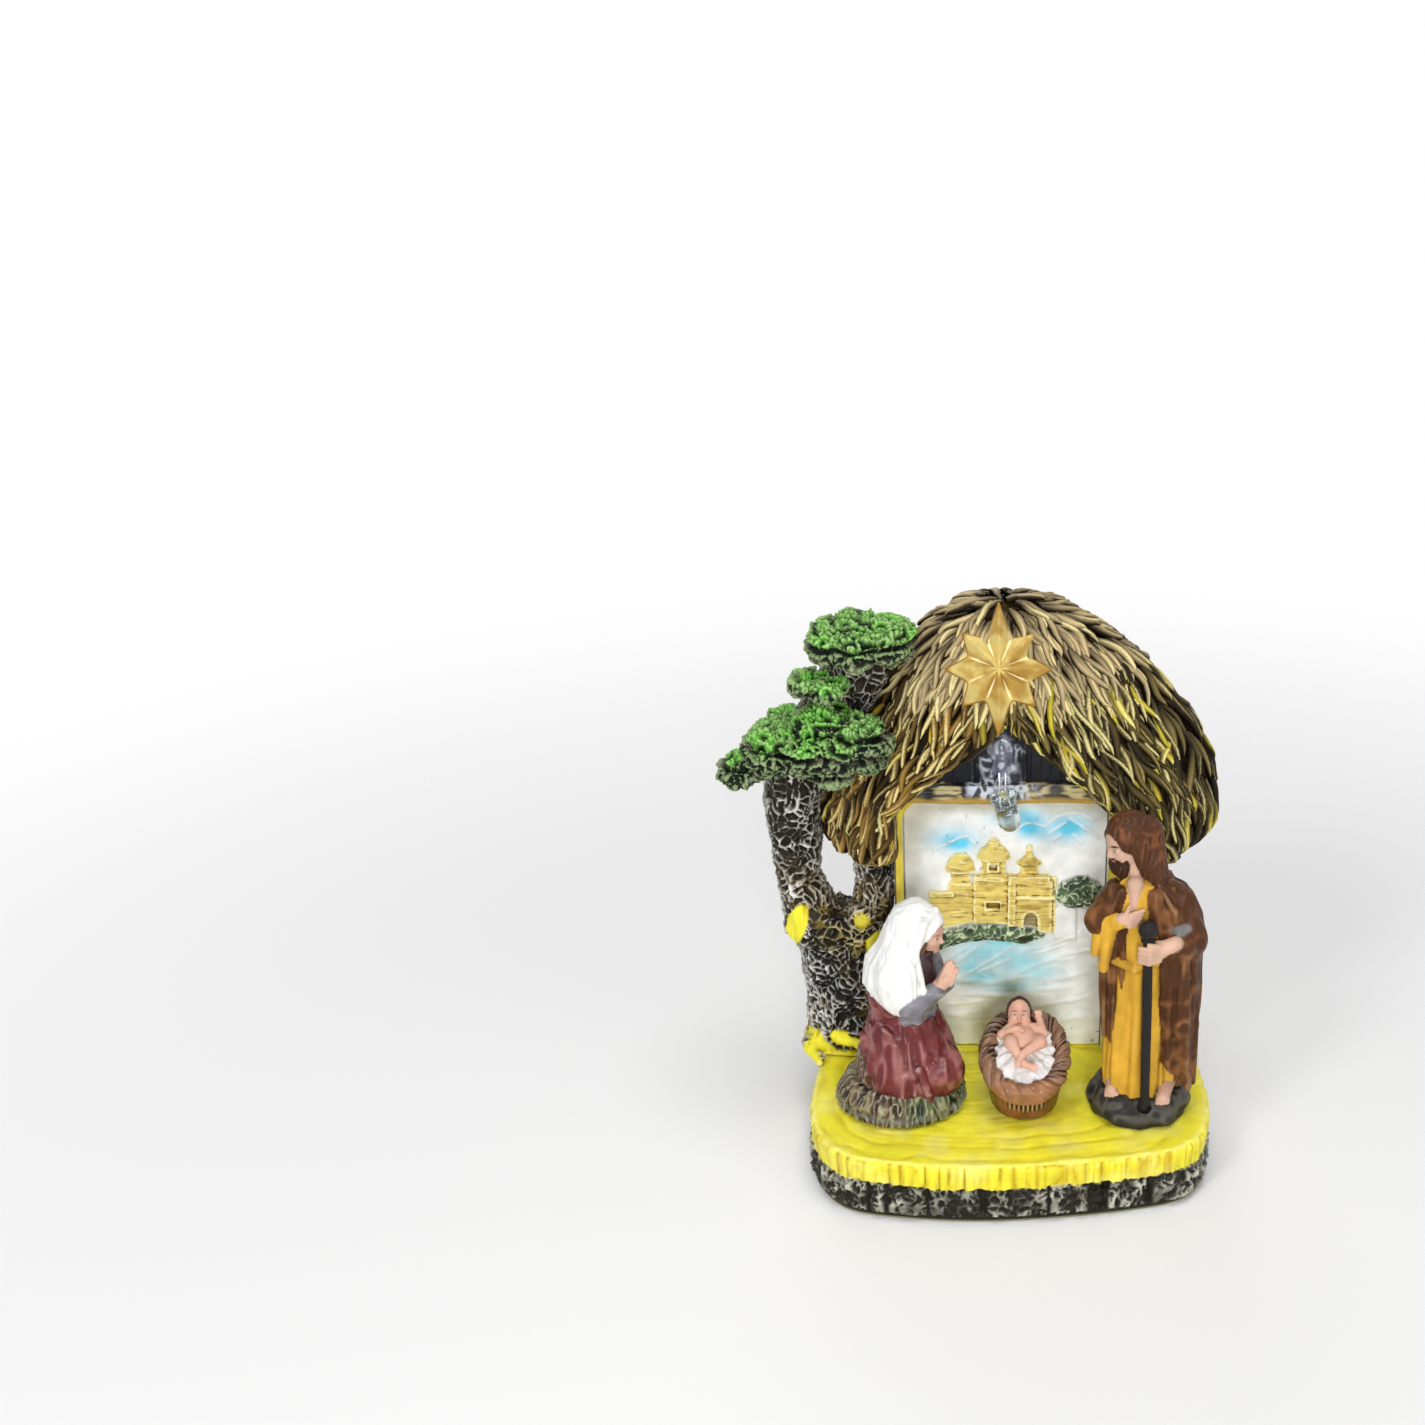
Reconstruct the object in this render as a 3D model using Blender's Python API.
# Light-up nativity ornament: a thatched hut with a forked tree on a log slice, three cast
# figures, a lit back scene and a coin cell light. +X is to the viewer's right, +Y is to the
# back and +Z is up. The origin lies under the middle of the ornament, on its resting face.
from math import cos, hypot, pi, radians, sin

import bmesh
import bpy
from mathutils import Matrix, Vector

MM = 0.001
GAP = 0.3 * MM

# Log slice base
BASE_HEIGHT = 14.0 * MM
RIM_HEIGHT = 6.6 * MM
BARK_TUCK = 1.3 * MM
BASE_OUTLINE = [
    (-34.6, 2), (-34.2, -10), (-31.6, -18), (-25.4, -24.8), (-14, -27.6), (2, -28.8),
    (18, -27.6), (34, -25), (45, -21.4), (50.6, -14), (52.2, -2), (51.2, 12), (46, 23),
    (30, 28.2), (6, 29), (-18, 28.4), (-31, 22),
]

# Back wall and its arched scene
WALL_LEFT = -16.2 * MM
WALL_RIGHT = 39.8 * MM
WALL_FRONT = 14.5 * MM
WALL_BACK = 27.8 * MM
GABLE_MIDDLE = 7.0 * MM
GABLE_RISE = 25.8 * MM
GABLE_SLOPE = 0.84
SCENE_LEFT = -14.3 * MM
SCENE_RIGHT = 29.8 * MM
SCENE_TOP = 77.2 * MM
GABLE_TOP = SCENE_TOP + GABLE_RISE
SCENE_CORNER = 5.0 * MM
RECESS_DEPTH = 5.6 * MM
PANEL_THICKNESS = 1.4 * MM

# Relief on the back scene: a low hill, a bush and a mound, with the town above the hill
HILL_LEFT = -8.4 * MM
HILL_RIGHT = 17.4 * MM
HILL_FOOT = 38.0 * MM
HILL_CORNER = 3.0 * MM
HILL_SIDE = 43.6 * MM
HILL_RISE = 2.4 * MM
HILL_PROUD = 0.4 * MM
BUSH_PLACE = (23.4, 54)
BUSH_HALF = (4.6, 2.2, 3.6)
MOUND_PLACE = (19.8, 48)
MOUND_HALF = (2.4, 1.6, 4)
TOWN_THICKNESS = 1.6 * MM
TOWN_WALLS = [(-9.2, 42.6), (18.9, 42.6), (18.9, 56.8), (15.2, 57.6)]
TOWN_RIGHT_TOWER = [
    (15.2, 60.4), (16.4, 60.9), (15, 61.5), (13.8, 63.6), (12.8, 64.4), (11.8, 63.6),
    (10.9, 61.8), (9.9, 61.4), (11, 60.6), (11, 57.6), (9.3, 57.4),
]
TOWN_HALL_SIDES = [(8.4, 60.6), (1.4, 60.6), (1.2, 56.8)]
TOWN_HALL_DOME = [(5.2, 61), (3.4, 6.2)]
TOWN_LEFT_SIDES = [(0.2, 56.8), (0, 59.6), (-4.2, 59.6), (-4.5, 56.4)]
TOWN_LEFT_DOME = [(-1.8, 60.2), (3, 3.4)]
TOWN_STEPS = [(-4.7, 54.2), (-6.6, 54.2), (-6.6, 53.2), (-8.7, 53.2), (-8.7, 50), (-9.2, 50)]
TOWN_WINDOW = (5.2, 52)
TOWN_WINDOW_RADIUS = 1.3 * MM
TOWN_DOOR_SIDES = [(12, 47.4), (14.6, 47.4)]
TOWN_DOOR_ARCH = [(13.3, 49.6), (1.3, 1.8)]
TOWN_CUT = 0.7 * MM

# Gable board with its beam
BOARD_THICKNESS = 2.2 * MM
BOARD_ABOVE_SCENE = 1.2 * MM
BEAM_HEIGHT = 4.2 * MM
BEAM_DEPTH = 1.6 * MM
SEAM_FIRST = 6.5 * MM
SEAM_SPACING = 11.0 * MM
SEAM_SIZE = 0.5 * MM

# Thatch: x, and height from the gable's top, from the left eave over the ridge to the right eave
THATCH_OUTSIDE = [
    (-29.5, -36.6), (-31, -29), (-27.5, -19), (-19.5, -7), (-12.5, 5), (-5, 13.6),
    (6, 16.6), (17, 15), (26, 10.8), (34.5, 4), (41, -3), (47, -10), (51, -18),
    (53, -26), (52, -33), (47, -35.6),
]
THATCH_FRONT = 5.4 * MM
THATCH_BACK = 29.0 * MM
THATCH_LIP = 5.5 * MM
TUFT_DEPTH = 0.7 * MM

# Star on the front slope of the thatch: x, y and height above the gable's top
STAR_CENTRE = (5.8, 8.6, 5.7)
STAR_LONG = 13.0 * MM
STAR_WIDE = 10.4 * MM
STAR_DIAGONAL = 10.0 * MM
STAR_VALLEY = 6.9 * MM
STAR_RISE = 2.6 * MM
STAR_EDGE = 1.2 * MM
STAR_LEAN = 24.0
STAR_PEG = 1.5 * MM
STAR_PEG_LENGTH = 4.0 * MM

# Forked tree: height above the base, middle x, half width
TREE_Y = 20.0 * MM
TREE_DEPTH = 6.8 * MM
TRUNK = [(0, -27.0, 11.2), (3.7, -26.6, 10.2), (13.7, -26.4, 9.7), (24.7, -27.4, 10.2),
         (30.7, -28.4, 11.4), (34.7, -29.4, 8)]
LEFT_LIMB = [
    (28.7, -33.6, 6.6), (35.7, -35, 5.8), (43.7, -37.4, 4.4), (51.7, -37.5, 5.4), (60.7, -38, 6),
    (69.7, -36.5, 6.4), (77.7, -30.6, 7.4), (85.7, -25.8, 7.6), (92.7, -21.8, 7.2), (97.7, -20.6, 4.6),
]
RIGHT_LIMB = [(28.7, -21.2, 4.7), (35.7, -21.1, 4.6), (42.7, -20.7, 4), (47.7, -20.9, 4.1), (51.7, -21.2, 4.4)]
STUB_CENTRE = (-23.2, 12.6, 35.9)
STUB_RADIUS = 2.4 * MM
STUB_LENGTH = 6.0
ROOT = [(-32, 17, 1.6), (-35.4, 15, 1.1), (-33.6, 9.6, 1.1)]
ROOT_RADII = [2.8 * MM, 1.6 * MM, 1.0 * MM]
# The bark's main ribs: the foot and the top of each
TREE_RIBS = [
    [(-24, 14, 13.7), (-30, 13.8, 31.7)], [(-31.5, 14.6, 5.7), (-27, 13.4, 19.7)],
    [(-19.5, 15, 3.7), (-21.5, 14, 29.7)], [(-36.5, 15.8, 29.7), (-38, 15.2, 49.7)],
    [(-34.4, 16, 47.7), (-36.4, 14.6, 69.7)],
]
RIB_RADIUS = 1.5 * MM

# Foliage clumps: x, y, height above the base and the half sizes of each lump
TOP_CLUMP = [
    (-28.8, 16, 97.7, 4.8, 7.4, 4.6), (-23, 14, 97.3, 5.2, 8, 4.5), (-16.6, 15, 97.9, 6, 7.6, 5.2),
    (-23, 21, 97.7, 6, 6, 4.4),
]
MIDDLE_CLUMP = [(-33.2, 14, 89.9, 3.6, 5.6, 3.2), (-28.4, 12, 89.1, 4.2, 6, 3)]
LOW_CLUMP = [
    (-47.4, 13, 70.6, 5.3, 6, 4), (-41, 14, 75.1, 6.4, 8.6, 5.4), (-33, 13, 76.7, 7, 10, 6.8),
    (-25.2, 10, 78.1, 7, 8, 7), (-20.6, 8, 78.5, 4.8, 6, 6), (-29, 14, 80.9, 5.4, 9, 5),
    (-27.8, 9, 72.5, 4.2, 5.4, 3.8), (-37, 21, 75.7, 8, 6, 6),
]

SMALL_LUMP = 6.0

# Kneeling mother, facing the manger: height above the base, x, y, half width, half depth
MOTHER_MOUND = [
    (0, -14.8, -2.6, 13.6, 12.8), (1.7, -14.8, -2.6, 14, 13.2), (3.9, -14.8, -2.6, 13.2, 12.4),
    (5.7, -14.6, -2.6, 10.6, 9.8),
]
MOTHER_ROBE = [
    (3.2, -13.4, -3, 9.6, 8.8), (6.7, -13.3, -3, 10.4, 9.4), (11.7, -13.3, -3, 9.9, 8.6),
    (16.7, -13.8, -3, 8.8, 7.8), (23.7, -14.2, -3.2, 8, 7.2), (31.2, -14.3, -3.6, 7.2, 6.6),
    (36.2, -13.8, -4, 6.6, 6), (39.7, -12.6, -4.4, 5.4, 5.4), (44.2, -11.3, -4.8, 5.4, 5.6),
    (47.3, -10.8, -4.8, 4.4, 4.6), (49.1, -10.8, -4.6, 2.2, 2.4),
]
MOTHER_ARM = [(-12.5, -9.4, 35.2), (-9.4, -11.6, 28.3), (-5.4, -9.6, 30.1)]
MOTHER_ARM_RADII = [2.6 * MM, 2.5 * MM, 1.9 * MM]
MOTHER_FAR_ARM = [(-9, -1, 34.7), (-6.4, -3, 29.1), (-5, -6.6, 30.3)]
MOTHER_FAR_ARM_RADII = [2.4 * MM, 2.3 * MM, 1.8 * MM]
MOTHER_HANDS = [(-6.6, -9.4, 28.9), (-3.6, -9.2, 32.1), (-2.5, -9, 35.1)]
MOTHER_HAND_RADII = [1.7 * MM, 1.5 * MM, 0.7 * MM]

# Standing father: height above the base, x, y, half width, half depth
FATHER_ROCK = [
    (0, 36.5, -5, 10.6, 10.6), (1.7, 36.5, -5, 11.2, 11.2), (4.1, 36.6, -5, 10.6, 10.4),
    (5.7, 36.8, -5, 8.4, 8.2),
]
FATHER_ROBE = [
    (4.3, 38.2, -3.6, 8.6, 6.6), (7.7, 38.6, -3.6, 9.2, 7.2), (15.7, 38.6, -4, 9.2, 7),
    (25.7, 38.7, -4.4, 9, 6.8), (35.7, 38.6, -5, 8.6, 6.6), (43.7, 37.8, -5.4, 8.6, 6.4),
    (49.7, 36.2, -5.6, 8.2, 6), (54.1, 34.8, -5.6, 6.6, 5), (56.7, 34.2, -5.4, 4.6, 4.6),
]
FATHER_HEAD = [
    (53.7, 36.6, -3.4, 4.2, 4), (56.7, 35.8, -4, 5.2, 5), (60.7, 34.4, -4.4, 6, 6),
    (65.2, 32.9, -4.6, 6.1, 6.4), (68.7, 32.4, -4.4, 5, 5.4), (71.3, 32.3, -4.2, 2.6, 3),
]
FATHER_BEARD = [(31.6, -9.2, 61.7), (32, -10.4, 58.1), (32.6, -10, 54.7)]
FATHER_BEARD_RADII = [2.6 * MM, 2.4 * MM, 0.9 * MM]
FATHER_NEAR_ARM = [(29.6, -6.6, 52.1), (26, -9, 46.7), (31.6, -12.6, 49.1)]
FATHER_NEAR_ARM_RADII = [3.1 * MM, 3.1 * MM, 2.2 * MM]
FATHER_FAR_ARM = [(43, -6.8, 50.7), (45.2, -9.6, 42.1), (35.4, -14.2, 43.1)]
FATHER_FAR_ARM_RADII = [3.2 * MM, 3.3 * MM, 2.3 * MM]
FATHER_FEET = [(30, -8.6), (41.6, -12.4)]
FATHER_FOOT_LINE = [(1.4, 4.3, 7), (0, 0, 6.4), (-0.7, -2, 5.7)]
FATHER_FOOT_RADII = [2 * MM, 1.7 * MM, 1.1 * MM]
STAFF_TOP = (35.9, -14.1, 49.7)
STAFF_FOOT = (37, -14.1, 5.5)
STAFF_RADIUS = 1.1 * MM
STAFF_KNOB = 2.1 * MM

# Wicker manger and the baby on its cloth
MANGER_X = 11.8 * MM
MANGER_Y = -5.2 * MM
MANGER_FOOT = 6.8 * MM
MANGER_RIM_WIDE = 9.3 * MM
MANGER_RIM_LONG = 10.2 * MM
MANGER_HEIGHT = 12.7 * MM
MANGER_TILT = 25.0
MANGER_WALL = 1.6 * MM
MANGER_HOLLOW = 5.4 * MM
MANGER_WEAVE = [(0, -0.4), (0.12, 0.5), (0.3, -0.2), (0.5, 0.4), (0.7, 0), (0.86, 0.9), (1, 0)]

# Baby: places from the middle of the manger's rim
BABY_HEAD = 3.0 * MM
BABY_HEAD_PLACE = (-1.4, 4.6, 7.2)
BABY_BODY_PLACE = (-0.4, 0, 3.6)
BABY_BODY_HALF = (3, 4.8, 2.6)
BABY_LEFT_ARM = [(-1.8, 1.8, 4.8), (-5, 1.2, 4.4), (-6.4, 0.2, 3.2)]
BABY_RIGHT_ARM = [(1.2, 1.8, 4.8), (4.2, 1, 4.2), (5.4, -0.2, 3)]
BABY_ARM_RADII = [1.2 * MM, 1.1 * MM, 0.8 * MM]
BABY_LEFT_LEG = [(-1.8, -2.8, 3), (-3.2, -5.4, 2.2), (1.8, -7.4, 0)]
BABY_RIGHT_LEG = [(1.2, -2.8, 3), (2.8, -5.4, 1.6), (-2.2, -7.4, -0.4)]
BABY_LEG_RADII = [1.5 * MM, 1.3 * MM, 0.9 * MM]

# Light: a 5 mm LED on its leads, glued to the gable board
LED_RADIUS = 2.5 * MM
LED_FLANGE = 2.9 * MM
LED_LENGTH = 8.6 * MM
LED_FLANGE_HEIGHT = 1.0 * MM
LIGHT_X = 6.8 * MM
LED_Y = 7.2 * MM
LED_BELOW_BEAM_TOP = 0.5 * MM
LED_LEAN = 14.0
LEAD_RADIUS = 0.25 * MM
LEAD_SPACING = 1.27 * MM
LEAD_HOLE_ABOVE_BEAM = 5.2 * MM
GLUE_HALF = (3, 2.6, 4.6)
GLUE_ABOVE_HOLE = 1.6 * MM
GLUE_PROUD = 1.4 * MM
WIRE_HOLE_RADIUS = 1.7 * MM
WIRE_RADIUS = 0.45 * MM
WIRE_SHAFT_Y = 24.0 * MM

# Battery case for one 2032 coin cell, let into the underside of the base
CELL_RADIUS = 10.0 * MM
CELL_HEIGHT = 3.2 * MM
CELL_PLAY = 0.4 * MM
CASE_Y = -1.0 * MM
CASE_BOTTOM = 1.0 * MM
CASE_HEIGHT = 7.4 * MM
CASE_WALL = 1.2 * MM
COVER_THICKNESS = 1.2 * MM
COVER_HALF = 11.0 * MM
SCREW_INSET = 2.1 * MM
SCREW_RADIUS = 0.9 * MM
SCREW_HEAD_RADIUS = 1.8 * MM
SCREW_HEAD_HEIGHT = 0.8 * MM
SCREW_LENGTH = 4.6 * MM
CONTACT_THICKNESS = 0.3 * MM
SPRING_HALF_WIDTH = 1.5 * MM
SPRING_HALF_SPAN = 4.0 * MM
SPRING_FRONT = 5.0 * MM
SPRING_DROP = 0.63 * MM
CLIP_LEFT = 2.3 * MM
CLIP_WIDTH = 1.6 * MM
SWITCH_LENGTH = 8.6 * MM
SWITCH_WIDTH = 3.8 * MM
SWITCH_HEIGHT = 3.4 * MM
SWITCH_TRAVEL = 2.0 * MM
KNOB_LENGTH = 2.4 * MM
KNOB_WIDTH = 1.6 * MM
KNOB_REACH = 0.5 * MM

# Places that follow from the sizes above
PANEL_BACK = WALL_FRONT + RECESS_DEPTH - GAP
PANEL_FRONT = PANEL_BACK - PANEL_THICKNESS
TOWN_BACK = PANEL_FRONT - GAP
TOWN_FRONT = TOWN_BACK - TOWN_THICKNESS
BOARD_FOOT = SCENE_TOP + BOARD_ABOVE_SCENE
BEAM_TOP = BOARD_FOOT + BEAM_HEIGHT
BOARD_BACK = WALL_FRONT - GAP
BOARD_FRONT = BOARD_BACK - BOARD_THICKNESS
BEAM_FRONT = BOARD_FRONT - BEAM_DEPTH
LIP_BACK = BEAM_FRONT - GAP
STAGE = BASE_HEIGHT + GAP
EAVE_LEFT = GABLE_TOP + THATCH_OUTSIDE[0][1] * MM
EAVE_RIGHT = GABLE_TOP + THATCH_OUTSIDE[-1][1] * MM
MANGER_RIM = STAGE + MANGER_HEIGHT
LEAD_HOLE_HEIGHT = BEAM_TOP + LEAD_HOLE_ABOVE_BEAM
BAY_RADIUS = CELL_RADIUS + CELL_PLAY
CASE_TOP = CASE_BOTTOM + CASE_HEIGHT
CASE_LEFT = LIGHT_X - BAY_RADIUS - 1.5 * CASE_WALL
BAY_WALL_RIGHT = LIGHT_X + COVER_HALF + GAP + CASE_WALL
SWITCH_X = BAY_WALL_RIGHT + SWITCH_WIDTH / 2 + GAP
CASE_RIGHT = SWITCH_X + SWITCH_WIDTH / 2 + GAP + CASE_WALL
CASE_HALF = BAY_RADIUS + 1.4 * CASE_WALL
BAY_CEILING = CASE_TOP - CASE_WALL
COVER_TOP = CASE_BOTTOM + COVER_THICKNESS
CELL_BOTTOM = COVER_TOP + GAP
CELL_TOP = CELL_BOTTOM + CELL_HEIGHT
SCREW_X = LIGHT_X - COVER_HALF + SCREW_INSET
SCREW_Y = CASE_Y - COVER_HALF + SCREW_INSET


def clear_scene():
    for thing in list(bpy.data.objects):
        bpy.data.objects.remove(thing, do_unlink=True)


def mm(point):
    """A point written in millimetres, as a vector in metres."""
    return Vector(point) * MM


def raised(points, lift, height=2):
    """The same points in mm, with a lift in metres added to their height."""
    return [tuple(value + lift / MM * (i == height) for i, value in enumerate(point)) for point in points]


def coat(name, colour, roughness=0.6, metallic=0.0):
    """A plain Principled material."""
    made = bpy.data.materials.new(name)
    made.use_nodes = True
    shader = made.node_tree.nodes["Principled BSDF"]
    shader.inputs["Base Color"].default_value = (*colour, 1.0)
    shader.inputs["Roughness"].default_value = roughness
    shader.inputs["Metallic"].default_value = metallic
    made.diffuse_color = (*colour, 1.0)
    return made


def to_object(name, shape, material=None, smooth=35.0):
    """Turns a bmesh into an object with outward faces."""
    bmesh.ops.recalc_face_normals(shape, faces=shape.faces)
    mesh = bpy.data.meshes.new(name)
    shape.to_mesh(mesh)
    shape.free()
    if smooth:
        mesh.shade_smooth()
        mesh.set_sharp_from_angle(angle=radians(smooth))
    made = bpy.data.objects.new(name, mesh)
    bpy.context.scene.collection.objects.link(made)
    if material:
        mesh.materials.append(material)
    return made


def fan(shape, row):
    middle = shape.verts.new(sum((v.co for v in row), Vector()) / len(row))
    for here, after in zip(row, row[1:] + row[:1]):
        shape.faces.new((here, after, middle))


def loft(name, rings, material=None, smooth=35.0):
    """One closed skin over rings that have the same number of points."""
    shape = bmesh.new()
    rows = [[shape.verts.new(point) for point in ring] for ring in rings]
    for low, high in zip(rows, rows[1:]):
        for i in range(len(low)):
            j = (i + 1) % len(low)
            shape.faces.new((low[i], low[j], high[j], high[i]))
    fan(shape, rows[0])
    fan(shape, rows[-1])
    return to_object(name, shape, material, smooth)


def oval(x, y, z, half_x, half_y, sides=16, folds=0, fold_depth=0.0, turn=0.0):
    """A level ring, with folds that push its edge in and out."""
    ring = []
    for i in range(sides):
        angle = 2 * pi * i / sides
        swell = 1 + fold_depth * cos(folds * angle + turn)
        ring.append(Vector((x + half_x * swell * cos(angle), y + half_y * swell * sin(angle), z)))
    return ring


def stack(name, levels, material=None, sides=16, folds=0, fold_depth=0.0):
    """A body on the base, from level ovals: height, x, y, half width and half depth in mm."""
    rings = []
    for i, (z, x, y, half_x, half_y) in enumerate(raised(levels, STAGE, 0)):
        share = 1 - i / len(levels)
        rings.append(oval(x * MM, y * MM, z * MM, half_x * MM, half_y * MM, sides, folds, fold_depth * share, 0.7 * i))
    return loft(name, rings, material)


def tube(name, points, radii, material=None, sides=10):
    """A round bar along points in mm, closed by its end rings."""
    path = [mm(point) for point in points]
    rings = []
    side = None
    for i, place in enumerate(path):
        along = (path[min(i + 1, len(path) - 1)] - path[max(i - 1, 0)]).normalized()
        if side is None:
            side = along.orthogonal().normalized()
        side = (side - along * side.dot(along)).normalized()
        across = along.cross(side)
        rings.append([place + radii[i] * (side * cos(2 * pi * k / sides) + across * sin(2 * pi * k / sides))
                      for k in range(sides)])
    return loft(name, rings, material)


def lump(name, place, half, detail=3):
    """A ball with three half sizes, in mm, around a point in mm."""
    shape = bmesh.new()
    spread = Matrix.Translation(mm(place)) @ Matrix.Diagonal((*mm(half), 1.0))
    bmesh.ops.create_icosphere(shape, subdivisions=detail, radius=1.0, matrix=spread)
    return to_object(name, shape)


def prism(name, outline, low, high, material=None, along="Y"):
    """An outline in the XZ plane pushed along Y, or one in the XY plane pushed along Z."""
    shape = bmesh.new()
    ends = []
    for depth in (low, high):
        if along == "Y":
            ends.append([shape.verts.new((a, depth, b)) for a, b in outline])
        else:
            ends.append([shape.verts.new((a, b, depth)) for a, b in outline])
    shape.faces.new(ends[0])
    shape.faces.new(ends[1])
    for i in range(len(outline)):
        j = (i + 1) % len(outline)
        shape.faces.new((ends[0][i], ends[0][j], ends[1][j], ends[1][i]))
    return to_object(name, shape, material)


def box(name, low, high, material=None):
    outline = [(low[0], low[1]), (high[0], low[1]), (high[0], high[1]), (low[0], high[1])]
    return prism(name, outline, low[2], high[2], material, along="Z")


def rod(name, centre, radius, low, high, along="Z", sides=24, material=None):
    """A straight cylinder along Z or Y around a centre in the plane across it."""
    outline = [(centre[0] + radius * cos(2 * pi * i / sides), centre[1] + radius * sin(2 * pi * i / sides))
               for i in range(sides)]
    return prism(name, outline, low, high, material, along)


def use(target, other, operation):
    """Cuts or joins another object, which then stays as a hidden guide."""
    other.hide_render = True
    other.display_type = "WIRE"
    step = target.modifiers.new(other.name, "BOOLEAN")
    step.operation = operation
    step.object = other
    return target


def cut(target, *cutters):
    for cutter in cutters:
        use(target, cutter, "DIFFERENCE")
    return target


def join(target, *others):
    for other in others:
        use(target, other, "UNION")
    return target


def smooth_outline(points, per_span):
    """A closed Catmull-Rom curve through points in mm."""
    curve = []
    count = len(points)
    for i in range(count):
        p0, p1, p2, p3 = (Vector(points[(i + k - 1) % count]) * MM for k in range(4))
        for step in range(per_span):
            t = step / per_span
            curve.append(0.5 * (2 * p1 + (p2 - p0) * t + (2 * p0 - 5 * p1 + 4 * p2 - p3) * t * t
                                + (3 * p1 - p0 - 3 * p2 + p3) * t ** 3))
    return curve


def pushed_out(curve, distance):
    """The same closed curve with every point moved out by distance(index)."""
    moved = []
    for i, point in enumerate(curve):
        along = curve[(i + 1) % len(curve)] - curve[i - 1]
        out = Vector((along.y, -along.x)).normalized()
        moved.append(point + out * distance(i))
    return moved


def make_base():
    """The log slice: a pale cut rim over a band of blocky bark, hollowed for the battery case."""
    curve = smooth_outline(BASE_OUTLINE, 3)

    def ring(z, offset, chunk):
        points = pushed_out(curve, lambda i: offset + chunk * (1 if (i * 5) % 7 < 4 else -1))
        return [Vector((p.x, p.y, z)) for p in points]

    rim_foot = BASE_HEIGHT - RIM_HEIGHT
    rings = [
        ring(0, -0.6 * MM, 0),
        ring(0.8 * MM, 0, 0.25 * MM),
        ring(0.5 * rim_foot, -0.1 * MM, 0.35 * MM),
        ring(rim_foot - 0.6 * MM, -BARK_TUCK, 0.2 * MM),
        ring(rim_foot + 0.4 * MM, -0.3 * MM, 0),
        ring(rim_foot + 1.6 * MM, 0, 0),
        ring(BASE_HEIGHT - 1.2 * MM, 0, 0),
        ring(BASE_HEIGHT, -0.9 * MM, 0),
    ]
    slab = loft("base_slab", rings, coat("cut_wood", (0.62, 0.42, 0.06), 0.55))
    pocket = box("base_pocket", (CASE_LEFT - GAP, CASE_Y - CASE_HALF - GAP, -MM),
                 (CASE_RIGHT + GAP, CASE_Y + CASE_HALF + GAP, CASE_TOP + GAP))
    groove = box("base_groove", (LIGHT_X - WIRE_HOLE_RADIUS, CASE_Y, -MM),
                 (LIGHT_X + WIRE_HOLE_RADIUS, WIRE_SHAFT_Y + WIRE_HOLE_RADIUS, CASE_TOP))
    shaft = rod("base_shaft", (LIGHT_X, WIRE_SHAFT_Y), WIRE_HOLE_RADIUS, 0.5 * CASE_TOP, BASE_HEIGHT + MM)
    return cut(slab, pocket, groove, shaft)


def gable_height(x):
    """Height of the wall's roof line at x."""
    return GABLE_TOP - GABLE_SLOPE * abs(x - GABLE_MIDDLE)


def scene_outline(grow, foot):
    """The back scene's outline: straight sides and rounded top corners."""
    left = SCENE_LEFT - grow
    right = SCENE_RIGHT + grow
    top = SCENE_TOP + grow
    radius = SCENE_CORNER + grow
    points = [(left, foot), (right, foot)]
    for centre_x, start in ((right - radius, 0), (left + radius, 90)):
        for step in range(7):
            angle = radians(start + 15 * step)
            points.append((centre_x + radius * cos(angle), top - radius + radius * sin(angle)))
    return points


def make_wall():
    """The house-shaped back wall with the scene's recess and the wires' shaft."""
    outline = [
        (WALL_LEFT, STAGE), (WALL_RIGHT, STAGE), (WALL_RIGHT, gable_height(WALL_RIGHT)),
        (GABLE_MIDDLE, GABLE_TOP), (WALL_LEFT, gable_height(WALL_LEFT)),
    ]
    wall = prism("back_wall", outline, WALL_FRONT, WALL_BACK, coat("wall_wood", (0.2, 0.13, 0.06), 0.7))
    recess = prism("wall_recess", scene_outline(0, STAGE - MM), WALL_FRONT - MM, WALL_FRONT + RECESS_DEPTH)
    shaft = rod("wall_shaft", (LIGHT_X, WIRE_SHAFT_Y), WIRE_HOLE_RADIUS, STAGE - MM,
                LEAD_HOLE_HEIGHT + WIRE_HOLE_RADIUS)
    crossing = rod("wall_crossing", (LIGHT_X, LEAD_HOLE_HEIGHT), WIRE_HOLE_RADIUS, WALL_FRONT - MM,
                   WIRE_SHAFT_Y, along="Y")
    return cut(wall, recess, shaft, crossing)


def hill_band(name, grow):
    """The low hill in front of the town: an arch-topped relief on the panel."""
    left = HILL_LEFT - grow
    right = HILL_RIGHT + grow
    foot = HILL_FOOT - grow
    top = [(right + (left - right) * i / 12, HILL_SIDE + grow + HILL_RISE * sin(pi * i / 12)) for i in range(13)]
    return prism(name, [(left + HILL_CORNER, foot), (right - HILL_CORNER, foot)] + top,
                 TOWN_FRONT - HILL_PROUD - grow, PANEL_BACK - 0.4 * PANEL_THICKNESS)


def relief_lump(name, place, half, grow=0.0):
    """A rounded lump on the panel's face at x and z in mm."""
    return lump(name, (place[0], PANEL_FRONT / MM, place[1]), [size + grow / MM for size in half], 2)


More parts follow.
